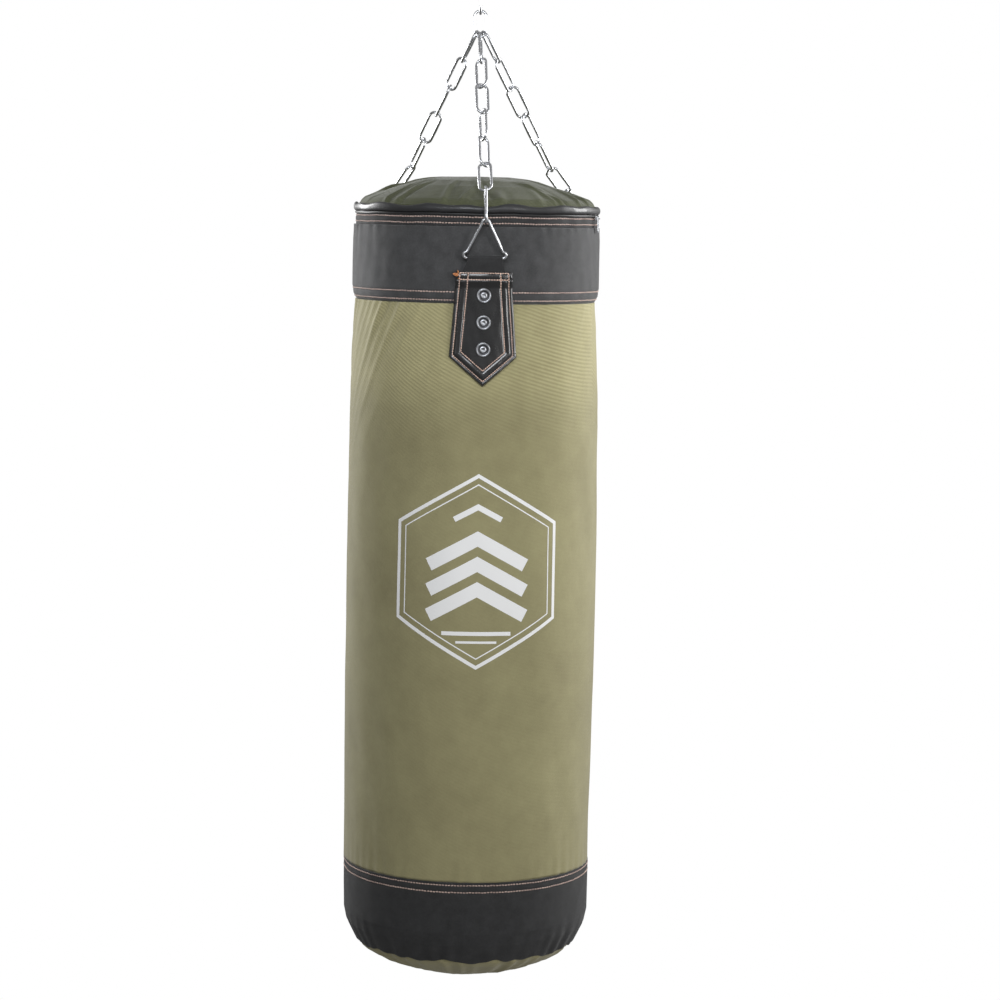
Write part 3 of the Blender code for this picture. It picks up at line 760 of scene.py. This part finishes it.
def strap_point(azimuth, x, z, h):
    r = np.interp(-np.asarray(z), -LIE[:, 0], LIE[:, 1]) + h
    a = math.radians(azimuth) + np.asarray(x) / STRAP_RADIUS
    return np.stack([r * np.sin(a), -r * np.cos(a), np.asarray(z, float) + 0 * a], -1)


def closed_sheet(name, outer, inner, mat, slot, uvs, ends):
    """Two grids of points back to back, joined along their sides and, with ends, at their end rows."""
    rows, columns = outer.shape[:2]
    n = rows * columns
    faces = grid_faces(rows, columns, False) + grid_faces(rows, columns, False, n, True)
    for i in range(rows - 1):
        a, b = i * columns, i * columns + columns - 1
        faces.append((a, a + n, a + n + columns, a + columns))
        faces.append((b, b + columns, b + n + columns, b + n))
    if ends:
        end = (rows - 1) * columns
        for j in range(columns - 1):
            faces.append((j, j + 1, n + j + 1, n + j))
            faces.append((end + j, n + end + j, n + end + j + 1, end + j + 1))
    points = np.vstack([outer.reshape(-1, 3), inner.reshape(-1, 3)])
    uvs = uvs.reshape(-1, 2) / 1000
    return make(name, points, faces, mat, "bag", uvs=np.vstack([uvs, uvs]))


def strap(leg, azimuth, seed):
    spans = ((TOP_Z, -94, 26), (-94.6, -188, 80), (SHOULDER_Z, TIP_Z, 44))
    rows = np.concatenate([np.linspace(*span) for span in spans])[:, None]
    u = np.linspace(-1, 1, 111)[None, :]
    u = np.sin(u * math.pi / 2) * 0.55 + u * 0.45
    x = u * half_width(rows)
    z = rows + 0 * x
    outer = strap_point(azimuth, x, z, np.maximum(strap_rise(x, z, seed), 0.1))
    inner = strap_point(azimuth, x, z, -0.15)
    uvs = np.stack([x, z], -1)
    piece = closed_sheet(f"{leg}_strap_skin", outer, inner, LEATHER, "black_leather", uvs, True)
    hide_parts(f"{leg}_strap")


def strap_stitches(leg, azimuth, seed):
    places, alongs, outs = [], [], []

    def run(points, pitch=3.1):
        points = np.array(points, float)
        for p, q in zip(points[:-1], points[1:]):
            total = np.linalg.norm(q - p)
            count = max(1, int(round(total / pitch)))
            for k in range(count):
                c = p + (q - p) * (k + 0.5) / count
                a, b = c - (q - p) / total, c + (q - p) / total
                ends = []
                for e in (a, c, b):
                    h = strap_rise(e[0], e[1], seed) + 0.38
                    ends.append(strap_point(azimuth, e[0], e[1], h))
                places.append(ends[1])
                alongs.append(ends[2] - ends[0])
                angle = math.radians(azimuth) + c[0] / STRAP_RADIUS
                outs.append((math.sin(angle), -math.cos(angle), 0))

    def outline(d):
        """The strap's outline set in by d: half width at the top, then the shoulder and the tip."""
        rise, run_out = TOP_Z - SHOULDER_Z, SHOULDER_HALF - TOP_HALF
        drop, run_in = SHOULDER_Z - TIP_Z, SHOULDER_HALF - TIP_HALF
        side_top = TOP_HALF - d * math.hypot(rise, run_out) / rise
        tip_top = SHOULDER_HALF - d * math.hypot(drop, run_in) / drop
        t = (tip_top + run_in / drop * rise - side_top) / (run_out / rise + run_in / drop)
        return side_top, side_top + run_out / rise * t, TOP_Z - t, SHOULDER_Z - tip_top * drop / run_in

    for d in (OUTER_ROW, INNER_ROW):
        x_top, x_low, z_low, z_tip = outline(d)
        run([(-x_top, -84.0), (-x_low, z_low), (0, z_tip), (x_low, z_low), (x_top, -84.0)])
    for half, row in zip((30.5, 30.0), CROSS_ROWS):
        run([(-half, TOP_Z - row), (half, TOP_Z - row)])
    stitches(f"{leg}_strap_stitches", places, alongs, outs, STRAP_THREAD, "bag", 1.42, 0.8)


RIVET = [(0.0, 1.0), (0.9, 0.95), (1.7, 1.5), (2.4, 2.05), (3.1, 2.1), (3.9, 1.55), (4.6, 1.3), (5.6, 1.35)]
RIVET += [(6.3, 1.9), (7.0, 2.7), (7.8, 3.0), (8.6, 2.75), (9.1, 2.1), (9.3, 1.3), (9.2, 0.5), (8.9, 0.0)]
# the face rows in each rivet's groove, which get painted shade
RIVET_GROOVE = range(5, 8)
RIVET_SIDES = 40
RIVET_Z = (-112.4, -145.9, -179.4)


def rivets(leg, azimuth, seed):
    axes = frame_at(azimuth)
    for n, z in enumerate(RIVET_Z, 1):
        h = float(strap_rise(np.array(0.0), np.array(z), seed))
        centre = strap_point(azimuth, 0.0, z, h - 0.2)
        name = f"{leg}_rivet_skin_{n}"
        piece = lathe(name, RIVET, NICKEL, "bag", centre, axes, RIVET_SIDES)
        # painted shade: the faces in the rivet's groove get near-black metal where the groove lies in shadow
        piece.data.materials.append(RIVET_GROOVE_SHADE)
        for poly in piece.data.polygons:
            if poly.index // RIVET_SIDES in RIVET_GROOVE:
                poly.material_index = 1
        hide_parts(f"{leg}_rivet_{n}")


# ---------------------------------------------------------------- loop tapes
RING_BASE_R, RING_BASE_Z = 164.4, -66.0
TAPE_RADIUS, TAPE_HALF_THICK = 3.0, 0.72
TAPE_HALF, TAPE_SPREAD = 22.0, 4.6
BAND_FACE_R = 159.3


def loop_tape(leg, azimuth):
    """Tape folded over the ring's base, wider and curved to the bag where it goes under the strap."""
    out, flat, up = frame_at(azimuth)
    core = [(160.1, -93.4), (160.1, -84), (160.4, -75), (160.9, -70)]
    for k in range(9):
        a = math.radians(185 - 205 * k / 8)
        core.append((RING_BASE_R + TAPE_RADIUS * math.cos(a), RING_BASE_Z + TAPE_RADIUS * math.sin(a)))
    core += [(166.3, -71.5), (164.6, -76.5), (162.6, -82.5), (162.1, -93.4)]
    core = curve_through([(r, z, 0) for r, z in core], 4)[:, :2]
    tangent = np.gradient(core, axis=0)
    tangent /= np.linalg.norm(tangent, axis=1)[:, None]
    normal = np.stack([-tangent[:, 1], tangent[:, 0]], -1)
    u = np.linspace(-1, 1, 41)
    sheets = []
    for sign in (TAPE_HALF_THICK, -TAPE_HALF_THICK):
        line = core + normal * sign
        half = TAPE_HALF + TAPE_SPREAD * np.clip((-72 - line[:, 1]) / 10, 0, 1)
        x = half[:, None] * u[None]
        keep = np.clip((RING_BASE_Z - line[:, 1]) / 8, 0, 1)[:, None]
        drop = (BAND_FACE_R - np.sqrt(BAND_FACE_R**2 - x**2)) * keep
        lump = 0.18 * waves(x / 8, line[:, 1][:, None], 8, 1, 3, 30, 90)
        r = line[:, 0][:, None] - drop + lump
        z = line[:, 1][:, None] + 0 * x
        sheets.append(out * r[..., None] + flat * x[..., None] + up * z[..., None])
    run = np.cumsum(np.concatenate([[0], np.linalg.norm(np.diff(core, axis=0), axis=1)]))
    uvs = np.stack(np.broadcast_arrays(u[None] * 24, run[:, None]), -1)
    piece = closed_sheet(f"{leg}_loop_skin", *sheets, TAPE, "black_fabric", uvs, False)
    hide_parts(f"{leg}_loop")


# ---------------------------------------------------------------- chain, on the CAD's own centrelines
WIRE, CHAIN_GAP, PITCH, HALF = 3.2, 0.5, 42.5, 7.8
BITE = WIRE + CHAIN_GAP
LINK = PITCH + BITE
SHORT_LINK = 33.0
WELD = {13: 0.1, 14: 0.28, 15: 0.1}
JUNCTION_Z = 214.3
RIM_JOINT = (161.0, 16.7)
RING_WIRE = 1.9
SKIN = 0.05  # how far the visible wire stands outside its CAD wire
RING_REACH, RING_LEAN = 40, math.radians(19)
BEND_SLACK = (0.65, 0, 0, 0, 0, 0.2, 0.5)
PHI = {"front": 0.0, "left": -50.0, "right": 50.0}
TURNS = {
    "front": (-78, 42, -18, 66, -42, 18, -90),
    "left": (-36, 78, -42, 54, -66, -6, -90),
    "right": (18, 78, -42, 78, 18, -42, 78),
}


def unit(v):
    return v / np.linalg.norm(v)


def junction_bend(angle):
    """The point in the junction link's lower bend where a leg hangs."""
    p = math.radians(angle)
    return np.array([math.sin(p), 0, -math.cos(p)]) * HALF + UP * (JUNCTION_Z + HALF)


def link_path(top, along, across, length, half=HALF, steps=12):
    """A link's centreline from its upper end: two half circles and the straights between them."""
    upper, lower = top + along * half, top + along * (length - half)
    path = []
    for end, other, sign in ((upper, lower, 1), (lower, upper, -1)):
        for k in range(steps + 1):
            a = math.pi * k / steps
            path.append(end + across * half * math.cos(a) * sign - along * half * math.sin(a) * sign)
        for t in (0.25, 0.5, 0.75):
            path.append(end - across * half * sign + (other - end) * t)
    return np.array(path)


def chain_link(name, top, along, across, length, body):
    """A bent and welded link: the weld is a slight swelling on one side."""
    path = link_path(top, along, across, length)
    radii = np.full(len(path), WIRE / 2 + SKIN)
    for at, swelling in WELD.items():
        radii[at] += swelling
    piece = tube(name + "_skin", path, WIRE / 2, ZINC, body, radii=radii)
    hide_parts(name)


def leg_directions(leg, azimuth):
    """The way each link of a leg points: five straight to an elbow, one to the rim and one to the ring."""
    out = frame_at(azimuth)[0]
    start = junction_bend(PHI[leg])
    rim = out * RIM_JOINT[0] + UP * RIM_JOINT[1]
    span = rim - start
    reach = 5 * PITCH
    length = np.linalg.norm(span)
    a = (reach**2 - PITCH**2 + length**2) / (2 * length)
    down = span / length
    lift = unit(UP - down * (UP @ down))
    elbow = start + down * a - lift * math.sqrt(max(reach**2 - a**2, 0))
    apex_r = RING_BASE_R + RING_REACH * math.sin(RING_LEAN)
    apex = out * apex_r + UP * (RING_BASE_Z + RING_REACH * math.cos(RING_LEAN))
    return [unit(elbow - start)] * 5 + [unit(rim - elbow), unit(apex - rim)]


def arc(centre, radius, start, end, count):
    return [
        (centre[0] + radius * math.cos(a), centre[1] + radius * math.sin(a))
        for a in np.linspace(start, end, count)
    ]


def fill_in(outline, steps_for):
    """Adds points along a closed outline's sides; steps_for(length) says how many."""
    dense = []
    for p, q in zip(outline, outline[1:] + outline[:1]):
        steps = steps_for(math.dist(p, q))
        dense += [(p[0] + (q[0] - p[0]) * i / steps, p[1] + (q[1] - p[1]) * i / steps) for i in range(steps)]
    return dense


def triangle_ring(leg, azimuth, apex):
    """A triangle of wire with rounded corners, standing on its base in the loop tape."""
    out, flat = frame_at(azimuth)[:2]
    base = out * RING_BASE_R + UP * RING_BASE_Z
    rise = unit(apex - base)
    height = np.linalg.norm(apex - base)
    foot_r, top_r, foot_x = 4.0, 4.4, 22.3
    slope = math.atan2(height - top_r, foot_x + foot_r)
    right = arc((foot_x, foot_r), foot_r, -math.pi / 2, slope + 0.55, 9)
    right += arc((0, height - top_r), top_r, slope - 0.95, math.pi / 2, 8)
    outline = right + [(-x, z) for x, z in reversed(right[:-1])]
    dense = fill_in(outline, lambda span: max(1, int(span / 6)))
    path = [base + flat * x + rise * z for x, z in dense]
    piece = tube(f"{leg}_ring_skin", path, RING_WIRE + SKIN, ZINC, "bag")
    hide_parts(f"{leg}_ring")


for seed, (leg, azimuth) in enumerate(LEGS.items()):
    sideways = frame_at(azimuth)[1]
    hold = junction_bend(PHI[leg])
    for n, along in enumerate(leg_directions(leg, azimuth)):
        top = hold - along * (BITE + BEND_SLACK[n])
        flat = unit(sideways - along * (sideways @ along))
        turn = math.radians(TURNS[leg][n])
        across = flat * math.cos(turn) + np.cross(along, flat) * math.sin(turn)
        chain_link(f"{leg}_link_{n + 1}", top, along, across, LINK, "bag")
        hold = top + along * LINK
    triangle_ring(leg, azimuth, hold - along * (RING_WIRE + WIRE / 2 + CHAIN_GAP))
    loop_tape(leg, azimuth)
    strap(leg, azimuth, seed)
    strap_stitches(leg, azimuth, seed)
    rivets(leg, azimuth, seed)

junction_top = JUNCTION_Z + SHORT_LINK
upper_top = junction_top - BITE + SHORT_LINK
chain_link("junction_link", UP * junction_top, -UP, np.array([1.0, 0, 0]), SHORT_LINK, "junction")
chain_link("upper_link", UP * upper_top, -UP, np.array([0, 1.0, 0]), SHORT_LINK, "upper")

# ---------------------------------------------------------------- swivel eye and snap hook
EYE_R, EYE_WIRE = 11.5, 2.5
BOW_R, BOW_Z = 17.0, 357
GATE_X, GATE_Z = 15.5, 314.0
Y_AXIS = (0, 1, 0)
BOX_FACES = [(0, 1, 3, 2), (4, 6, 7, 5), (0, 4, 5, 1), (2, 3, 7, 6), (0, 2, 6, 4), (1, 5, 7, 3)]

eye_centre = upper_top - (WIRE / 2 + EYE_WIRE + CHAIN_GAP) + EYE_R
round_eye = np.linspace(0, 2 * math.pi, 48, endpoint=False)
path = [(EYE_R * math.sin(a), 0, eye_centre - EYE_R * math.cos(a)) for a in round_eye]
eye = tube("swivel_eye_skin", path, EYE_WIRE, FORGED, "swivel", sides=16)
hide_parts("swivel_eye")
low = eye_centre + EYE_R - 1.5
stem = [(0, low), (4.2, low), (5.4, low + 2), (6.3, 302.4), (4.0, 302.7), (4.0, 315.3), (6.6, 315.4)]
stem += [(6.8, 316.2), (6.8, 317.6), (6.2, 319.0), (5.0, 319.7), (2.5, 319.9), (0, 319.9)]
lathe("swivel_stem_skin", stem, FORGED, "swivel")

bow = [(-7.5, 0, 308.0), (-12.5, 0, 313.5), (-16.2, 0, 322.0), (-BOW_R, 0, 336.0)]
bow += [(BOW_R * math.cos(a), 0, BOW_Z + BOW_R * math.sin(a)) for a in np.linspace(math.pi, 0, 9)]
bow += [(BOW_R, 0, 351.0), (BOW_R, 0, 346.5)]
bow = curve_through(bow, 5)
radii = np.interp(np.linspace(0, 1, len(bow)), [0, 0.1, 0.85, 0.95, 1], [5.0, 5.5, 5.5, 5.2, 3.6])
hook = tube("hook_body_skin", bow, 5.5, FORGED, "hook", False, 20, radii, Y_AXIS)
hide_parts("hook_body")
boss = [(4.3, 315), (9.2, 315), (10.4, 314.4), (11, 313.4), (11, 304.6), (10.4, 303.5), (9.2, 303)]
boss += [(4.3, 303), (4.3, 315)]
lathe("hook_boss_skin", boss, FORGED, "hook")


def rounded_box(name, points, faces, mat, body, bevel):
    piece = make(name, points, faces, mat, body, False)
    rounding = piece.modifiers.new("rounding", "BEVEL")
    rounding.width = bevel / 1000
    rounding.segments = 3
    return piece


def slab(name, low, high, body, bevel):
    points = [(x, y, z) for x in (low[0], high[0]) for y in (low[1], high[1]) for z in (low[2], high[2])]
    rounded_box(name, points, BOX_FACES, FORGED, body, bevel)


for n, y in enumerate((-6.9, 4.5)):
    slab(f"hook_lug_skin_{n}", (8.5, y, 309.0), (19.1, y + 2.4, 317.4), "hook", 0.9)
gate_pivot = (GATE_X, 0, GATE_Z)
pin = [(0, 7.9), (1.2, 7.9), (2.0, 7.6), (2.1, 7.0), (1.6, 6.9)]
pin = [(r, -y) for r, y in pin] + pin[::-1]
piece = lathe("gate_pin_skin", pin, FORGED, "hook", gate_pivot, "Y", 24)
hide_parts("gate_pin")
tip = BOW_R - 5.2 - 3.0 - 0.35  # the bow's end, the gate's own radius and a gap
bar = curve_through([(14.9, 0, 319.0), (tip + 2.6, 0, 335.0), (tip, 0, 345.0), (tip, 0, 352.0)], 8)
radii = np.interp(np.linspace(0, 1, len(bar)), [0, 0.3, 0.7, 0.97, 1], [3.4, 3.2, 3.0, 2.7, 2.0])
gate = tube("hook_gate_skin", bar, 3.2, FORGED, "gate", False, 16, radii, Y_AXIS)
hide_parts("hook_gate")
for n, y in enumerate((-4.2, 2.5)):
    cheek = [(1.7, y), (3.2, y), (3.4, y + 0.4), (3.4, y + 1.3), (3.2, y + 1.7), (1.7, y + 1.7)]
    lathe(f"gate_cheek_skin_{n}", cheek, FORGED, "gate", gate_pivot, "Y", 24)
    slab(f"gate_web_skin_{n}", (12.3, y, 314.0), (17.9, y + 1.7, 321.5), "gate", 0.5)
SPRING_TURNS, SPRING_R, SPRING_LONG = 2.5, 2.5, 3.2
wound = 2 * math.pi * SPRING_TURNS
coil_path = [
    (GATE_X + SPRING_R * math.sin(a), -1.6 + SPRING_LONG * a / wound, GATE_Z - SPRING_R * math.cos(a))
    for a in np.linspace(0, wound, 60)
]
piece = tube("gate_spring_skin", coil_path, 0.4, NICKEL, "hook", False, 8, None, Y_AXIS)
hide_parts("gate_spring")

# ---------------------------------------------------------------- zip slider and pull
ZIP_AZIMUTH, PULL_R = 74.0, 161.4
out, flat, up = frame_at(ZIP_AZIMUTH)


def on_rim(x, r, z):
    return flat * x + out * r + up * z


def plate(name, size, centre, body, bevel):
    points = [
        on_rim(centre[0] + size[0] * x, centre[1] + size[1] * y, centre[2] + size[2] * z)
        for x in (-0.5, 0.5)
        for y in (-0.5, 0.5)
        for z in (-0.5, 0.5)
    ]
    faces = [face[::-1] for face in BOX_FACES]
    return rounded_box(name, points, faces, NICKEL, body, bevel)


piece = plate("zip_slider_skin", (9.0, 1.8, 5.0), (0, 159.0, -14.6), "slider", 0.6)
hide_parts("zip_slider")
bail = [(-1.5, 159.2), (-1.5, 162.2), (-1.2, 163.3), (0, 163.6), (1.2, 163.3), (1.5, 162.2), (1.5, 159.2)]
bail = curve_through([on_rim(x, r, -15.3) for x, r in bail], 5)
tube("zip_bail_skin", bail, 0.6, NICKEL, "slider", False, 10, None, up)
pull_outline = [(-2.95, -13.7), (2.95, -13.7), (2.95, -19.6), (2.6, -32.6), (-2.6, -32.6), (-2.95, -19.6)]
path = [on_rim(x, PULL_R, z) for x, z in fill_in(pull_outline, lambda span: 6)]
piece = tube("zip_pull_skin", path, 0.55, NICKEL, "pull", True, 8, None, out)
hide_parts("zip_pull")
plate("zip_tab_skin", (5.4, 0.9, 13.0), (0, PULL_R, -26.2), "pull", 0.3)

# Thread ends left in a knot at the front strap's corner
out = frame_at(LEGS["front"])[0]
draw = np.random.default_rng(5)
for n in range(4):
    start = (-33.5 + draw.uniform(-1, 1), -85.0 + draw.uniform(-1.5, 1.5))
    curl = []
    for k in range(7):
        t = k / 6
        x = start[0] + 2.2 * math.sin(5.5 * t + n) + (n - 1.5) * 1.2 * t - 1.5 * t
        z = start[1] + 2.0 * math.cos(4.6 * t + 1.7 * n) - (1.0 + n) * t
        curl.append(strap_point(LEGS["front"], x, z, 3.4 + 0.9 * math.sin(3 * t + n)))
    curl = curve_through(curl, 5)
    tube(f"thread_knot_{n}", curl, 0.5, KNOT_THREAD, "bag", False, 8, None, out)

# ---------------------------------------------------------------- inside pieces keep the CAD's shape
for name, colour in (("foam_liner", (0.55, 0.54, 0.5)), ("filling", (0.33, 0.31, 0.3))):
    inner, tree, bsdf = shader(name + "_look", colour, 0.9)
    bump(tree, bsdf, noise(tree, 90, 5, 0.7), 0.6, 0.002)
    slots = bpy.data.objects[name].data.materials
    slots.clear()
    slots.append(inner)

# ---------------------------------------------------------------- light, world and camera
world = bpy.data.worlds.new("studio")
bpy.context.scene.world = world
world.use_nodes = True
tree = world.node_tree
for old in list(tree.nodes):
    tree.nodes.remove(old)
# the surroundings are a little brighter to the right and above; the camera sees plain white
split = node(tree, "ShaderNodeSeparateXYZ")
link(tree, node(tree, "ShaderNodeTexCoord"), "Generated", split, "Vector")
right = calc(tree, "MULTIPLY_ADD", split.outputs["X"], 0.10, 0.36)
above = calc(tree, "MULTIPLY", split.outputs["Z"], 0.12)
level = calc(tree, "ADD", right, above)
soft = node(tree, "ShaderNodeBackground")
tree.links.new(level, soft.inputs["Strength"])
white = node(tree, "ShaderNodeBackground")
white.inputs["Color"].default_value = (1, 1, 1, 1)
white.inputs["Strength"].default_value = 1.0
ray = node(tree, "ShaderNodeLightPath")
mix = node(tree, "ShaderNodeMixShader")
tree.links.new(ray.outputs["Is Camera Ray"], mix.inputs[0])
tree.links.new(soft.outputs[0], mix.inputs[1])
tree.links.new(white.outputs[0], mix.inputs[2])
output = node(tree, "ShaderNodeOutputWorld")
tree.links.new(mix.outputs[0], output.inputs["Surface"])


def area(name, place, target, size, energy, colour=(1, 1, 1)):
    light = bpy.data.lights.new(name, "AREA")
    light.shape = "RECTANGLE"
    light.size, light.size_y = size
    light.energy = energy
    light.color = colour
    obj = bpy.data.objects.new(name, light)
    obj.location = place
    obj.rotation_euler = (Vector(target) - Vector(place)).to_track_quat("-Z", "Y").to_euler()
    obj.visible_camera = False
    bpy.context.collection.objects.link(obj)


COOL = (0.92, 0.95, 1.0)
area("key_right", (1.75, -2.05, -0.3), (0, 0, -0.85), (0.6, 1.1), 18)
area("fill_left", (-1.35, -2.2, -0.05), (0, 0, -0.6), (0.3, 0.6), 4, COOL)
area("front_top", (-0.05, -1.0, -0.1), (0, -0.16, -0.56), (0.5, 0.25), 4.0, COOL)
area("rim_left", (-0.98, 0.68, -0.28), (0, 0, -0.62), (0.4, 0.7), 14)
area("rim_right", (1.14, 0.40, -0.25), (0, 0, -0.65), (0.4, 0.8), 15)

# the camera fitted to the photo
camera_data = bpy.data.cameras.new("camera")
camera_data.lens = 101.34
camera_data.sensor_width = 36
camera = bpy.data.objects.new("camera", camera_data)
bpy.context.collection.objects.link(camera)
bpy.context.scene.camera = camera
TILT, ROLL = math.radians(5.88), math.radians(1.06)
camera.rotation_mode = "QUATERNION"
look = Vector((0, math.cos(TILT), -math.sin(TILT)))
aim = look.to_track_quat("-Z", "Y")
camera.rotation_quaternion = aim @ Quaternion((0, 0, 1), ROLL)
camera.location = (0.0365, -3.657, (-6.5 - HANG_Z) / 1000)

view = bpy.context.scene.view_settings
view.view_transform = "Standard"
view.exposure = 0.0
